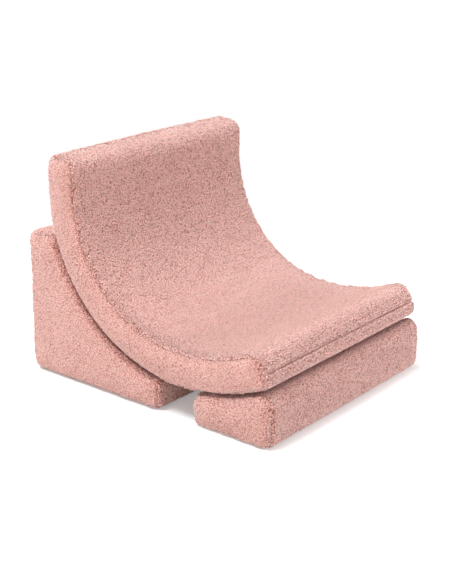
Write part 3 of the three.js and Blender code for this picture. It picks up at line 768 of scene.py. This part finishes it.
def inSlot(points, middle, half, end, deepest):
    # 1 in a long slot with round ends along the zip, for points on the zip's face
    along = np.maximum(np.abs(points[:, 0]) - end + half, 0)
    outside = np.hypot(along, points[:, 2] - middle) - half
    share = 1 - smoothStep(-zipper["slotEdge"], zipper["slotEdge"], outside)
    share[points[:, 1] < deepest] = 0
    return share


def sinkZip(points, prefix):
    # sinks the channel for the tapes, and flattens the pile that the pull tab lies on
    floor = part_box(prefix + "_zip_tape_lower")[0][1] - zipper["floorUnder"]
    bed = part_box(prefix + "_zip_pull_tab")[0][1] - zipper["tabRoom"]
    middle, deepest = zipMiddle(prefix), floor - zipper["reach"]
    channel = inSlot(points, middle, zipper["halfHeight"], zipper["channelEnd"], deepest)
    tabSlot = inSlot(points, middle, zipper["tabHalf"], zipper["tabEnd"], deepest)
    sunk = points.copy()
    sunk[:, 1] += channel * np.minimum(0, floor - sunk[:, 1])
    sunk[:, 1] += tabSlot * np.minimum(0, bed - sunk[:, 1])
    return sunk


def makeWeave(settings):
    material, tree, shader = newMaterial("zipWeave", Roughness=0.85, Sheen_Weight=0.2)
    place = addNode(tree, "ShaderNodeTexCoord").outputs["Object"]
    turns = 2 * math.pi / settings["weave"]
    parts = addNode(tree, "ShaderNodeSeparateXYZ", {"Vector": place}).outputs
    warp = maths(tree, "SINE", maths(tree, "MULTIPLY", parts["X"], turns))
    weft = maths(tree, "SINE", maths(tree, "MULTIPLY", parts["Z"], turns))
    weave = maths(tree, "MULTIPLY", warp, weft)
    shade = maths(tree, "MULTIPLY_ADD", weave, 0.5, 0.5)
    colour = twoTone(tree, shade, settings["clothDark"], settings["cloth"])
    finish(tree, shader, colour, weave, *settings["weaveBump"])
    return material


def makeNylon(settings):
    material, tree, shader = newMaterial("zipNylon", Roughness=0.45)
    place = addNode(tree, "ShaderNodeTexCoord").outputs["Object"]
    cloudy = addNode(
        tree, "ShaderNodeTexNoise", {"Vector": place, "Scale": settings["nylonClouds"], "Detail": 2}
    ).outputs["Fac"]
    finish(tree, shader, twoTone(tree, cloudy, settings["cloth"], settings["nylon"]))
    return material


def makeNickel(settings):
    material, tree, shader = newMaterial("nickel", Metallic=1)
    place = addNode(tree, "ShaderNodeTexCoord").outputs["Object"]
    brushed = addNode(tree, "ShaderNodeMapping", {"Vector": place, "Scale": settings["brushed"]}).outputs[0]
    lines = addNode(tree, "ShaderNodeTexNoise", {"Vector": brushed, "Scale": 1, "Detail": 3}).outputs["Fac"]
    tarnish = addNode(
        tree, "ShaderNodeTexNoise", {"Vector": place, "Scale": settings["nickelClouds"], "Detail": 3}
    ).outputs["Fac"]
    colour = twoTone(tree, tarnish, settings["nickelDark"], settings["nickel"], *settings["nickelRamp"])
    finish(tree, shader, colour, lines, *settings["brushBump"])
    tree.links.new(maths(tree, "MULTIPLY_ADD", lines, *settings["roughness"]), shader.inputs["Roughness"])
    return material


zipWeave, zipNylon, nickel = makeWeave(zipper), makeNylon(zipper), makeNickel(zipper)


def bevelledBlock(bm, low, high, bevel, material=0):
    # a small block with bevelled edges between two corners
    made = bmesh.ops.create_cube(bm, size=1)["verts"]
    low, high = Vector(low), Vector(high)
    bmesh.ops.scale(bm, vec=high - low, verts=made)
    bmesh.ops.translate(bm, vec=(low + high) / 2, verts=made)
    edges = list({edge for v in made for edge in v.link_edges})
    cut = bmesh.ops.bevel(
        bm, geom=edges, offset=bevel, segments=1, profile=0.5, affect="EDGES", material=-1
    )
    faces = {face for v in cut["verts"] for face in v.link_faces}
    for face in faces:
        face.material_index = material
        face.smooth = True
    return list(faces)


def repeat(bm, faces, step, count):
    last = faces
    for turn in range(count - 1):
        copy = bmesh.ops.duplicate(bm, geom=last)["geom"]
        points = [v for v in copy if isinstance(v, bmesh.types.BMVert)]
        bmesh.ops.translate(bm, vec=step, verts=points)
        last = [f for f in copy if isinstance(f, bmesh.types.BMFace)]


def makeTape(prefix, half):
    node = prefix + "_zip_tape_" + half
    low, high = (Vector(c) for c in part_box(node))
    up = 1 if half == "upper" else -1
    middle = zipMiddle(prefix)
    face = low.y + zipper["tape"]
    bm = bmesh.new()
    bevelledBlock(bm, low, (high.x, face, high.z), zipper["tapeBevel"])

    def bar(start, length, near, far, top, bevel):
        ends = sorted((middle + up * near, middle + up * far))
        corner = (start, face - zipper["barSunk"], ends[0])
        return bevelledBlock(bm, corner, (start + length, top, ends[1]), bevel, 1)

    pitch, near = zipper["toothPitch"], zipper["toothFrom"]
    stagger = 0.5 * pitch if up > 0 else 0
    start = low.x + zipper["toothMargin"] + stagger
    teeth = int((high.x - zipper["toothMargin"] - start) / pitch)
    far = near + zipper["toothLong"]
    tooth = bar(start, zipper["toothWide"], near, far, high.y, zipper["toothBevel"])
    repeat(bm, tooth, (pitch, 0, 0), teeth)

    pitch, near = zipper["stitchPitch"], zipper["stitchAt"]
    stitches = int((high.x - low.x - 2 * pitch) / pitch)
    top, far = face + zipper["stitchProud"], near + zipper["stitchWide"]
    stitch = bar(low.x + pitch, zipper["stitchLong"], near, far, top, zipper["stitchBevel"])
    repeat(bm, stitch, (pitch, 0, 0), stitches)

    tape = newObject(prefix + "_zip_" + half, bm, zipWeave)
    tape.data.materials.append(zipNylon)
    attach(tape, prefix)
    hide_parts(node)


def dress(node, material, bevel):
    # a CAD node keeps its shape and gets a finish and softened edges
    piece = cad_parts[node]
    piece.data.materials.clear()
    piece.data.materials.append(material)
    weld = piece.modifiers.new("Weld", "WELD")
    weld.merge_threshold = 0.01 * mm
    soft = piece.modifiers.new("Soft edges", "BEVEL")
    soft.width = bevel
    soft.segments = 2
    soft.limit_method = "ANGLE"
    soft.angle_limit = math.radians(35)


# Hook and loop strips
strip = {
    "hook": (0.62, 0.34, 0.30, 1),
    "loop": (0.72, 0.44, 0.39, 1),
    "shade": (0.38, 0.17, 0.15, 1),
    "thread": (0.30, 0.12, 0.10, 1),
    "ramp": (0.45, 0.95),
    "pitch": {"hook": 1.6 * mm, "loop": 1.1 * mm},
    "spread": {"hook": 0.15, "loop": 1.0},  # hooks stand in rows, loops don't
    "uneven": 150,  # clouds in a metre
    "unevenShare": 0.3,
    "middle": 150 * mm,  # from the chair's middle to a strip's
    "seamAt": 10.3 * mm,  # stitches, from the strip's middle
    "seamHalf": 0.45 * mm,
    "stitch": 4.5 * mm,
    "stitchFrom": -0.4,  # of a sine, which sets how long a stitch is
    "bump": (0.9, 0.4 * mm),
    "bevel": 0.2 * mm,
}


def makeStrip(kind, settings):
    material, tree, shader = newMaterial(kind + "Tape", Roughness=0.8, Sheen_Weight=0.15)
    place = addNode(tree, "ShaderNodeTexCoord").outputs["Object"]
    size, spread = settings["pitch"][kind], settings["spread"][kind]
    pattern = addNode(
        tree, "ShaderNodeTexVoronoi", {"Vector": place, "Scale": 1 / size, "Randomness": spread}
    ).outputs["Distance"]
    uneven = addNode(
        tree, "ShaderNodeTexNoise", {"Vector": place, "Scale": settings["uneven"], "Detail": 3}
    ).outputs["Fac"]
    shade = maths(tree, "SUBTRACT", 1.0, pattern)
    shade = maths(tree, "MULTIPLY_ADD", uneven, settings["unevenShare"], shade)
    colour = twoTone(tree, shade, settings["shade"], settings[kind], *settings["ramp"])

    parts = addNode(tree, "ShaderNodeSeparateXYZ", {"Vector": place}).outputs
    fromMiddle = maths(tree, "SUBTRACT", maths(tree, "ABSOLUTE", parts["X"]), settings["middle"])
    fromSeam = maths(tree, "SUBTRACT", maths(tree, "ABSOLUTE", fromMiddle), settings["seamAt"])
    onSeam = maths(tree, "LESS_THAN", maths(tree, "ABSOLUTE", fromSeam), settings["seamHalf"])
    wave = maths(tree, "SINE", maths(tree, "MULTIPLY", parts["Y"], 2 * math.pi / settings["stitch"]))
    stitches = maths(tree, "MULTIPLY", onSeam, maths(tree, "GREATER_THAN", wave, settings["stitchFrom"]))
    inputs = {0: stitches, 6: colour, 7: settings["thread"]}
    sewn = addNode(tree, "ShaderNodeMix", inputs, data_type="RGBA").outputs[2]
    finish(tree, shader, sewn, maths(tree, "ADD", shade, stitches), *settings["bump"])
    return material


tapes = {kind: makeStrip(kind, strip) for kind in ("hook", "loop")}
for name, touching in (("pad", ("wedge", "block")), ("wedge", ("pad",)), ("block", ("pad",))):
    makeCover(name, touching)
    makeCore(name)
    for half in ("upper", "lower"):
        makeTape(name, half)
    for fitting in ("top_stop", "end_stop", "slider", "pull_tab"):
        dress(name + "_zip_" + fitting, nickel, zipper["fittingBevel"])
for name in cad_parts:
    if "strip" in name:
        dress(name, tapes["hook" if "hook" in name else "loop"], strip["bevel"])
print("zips and strips ready")
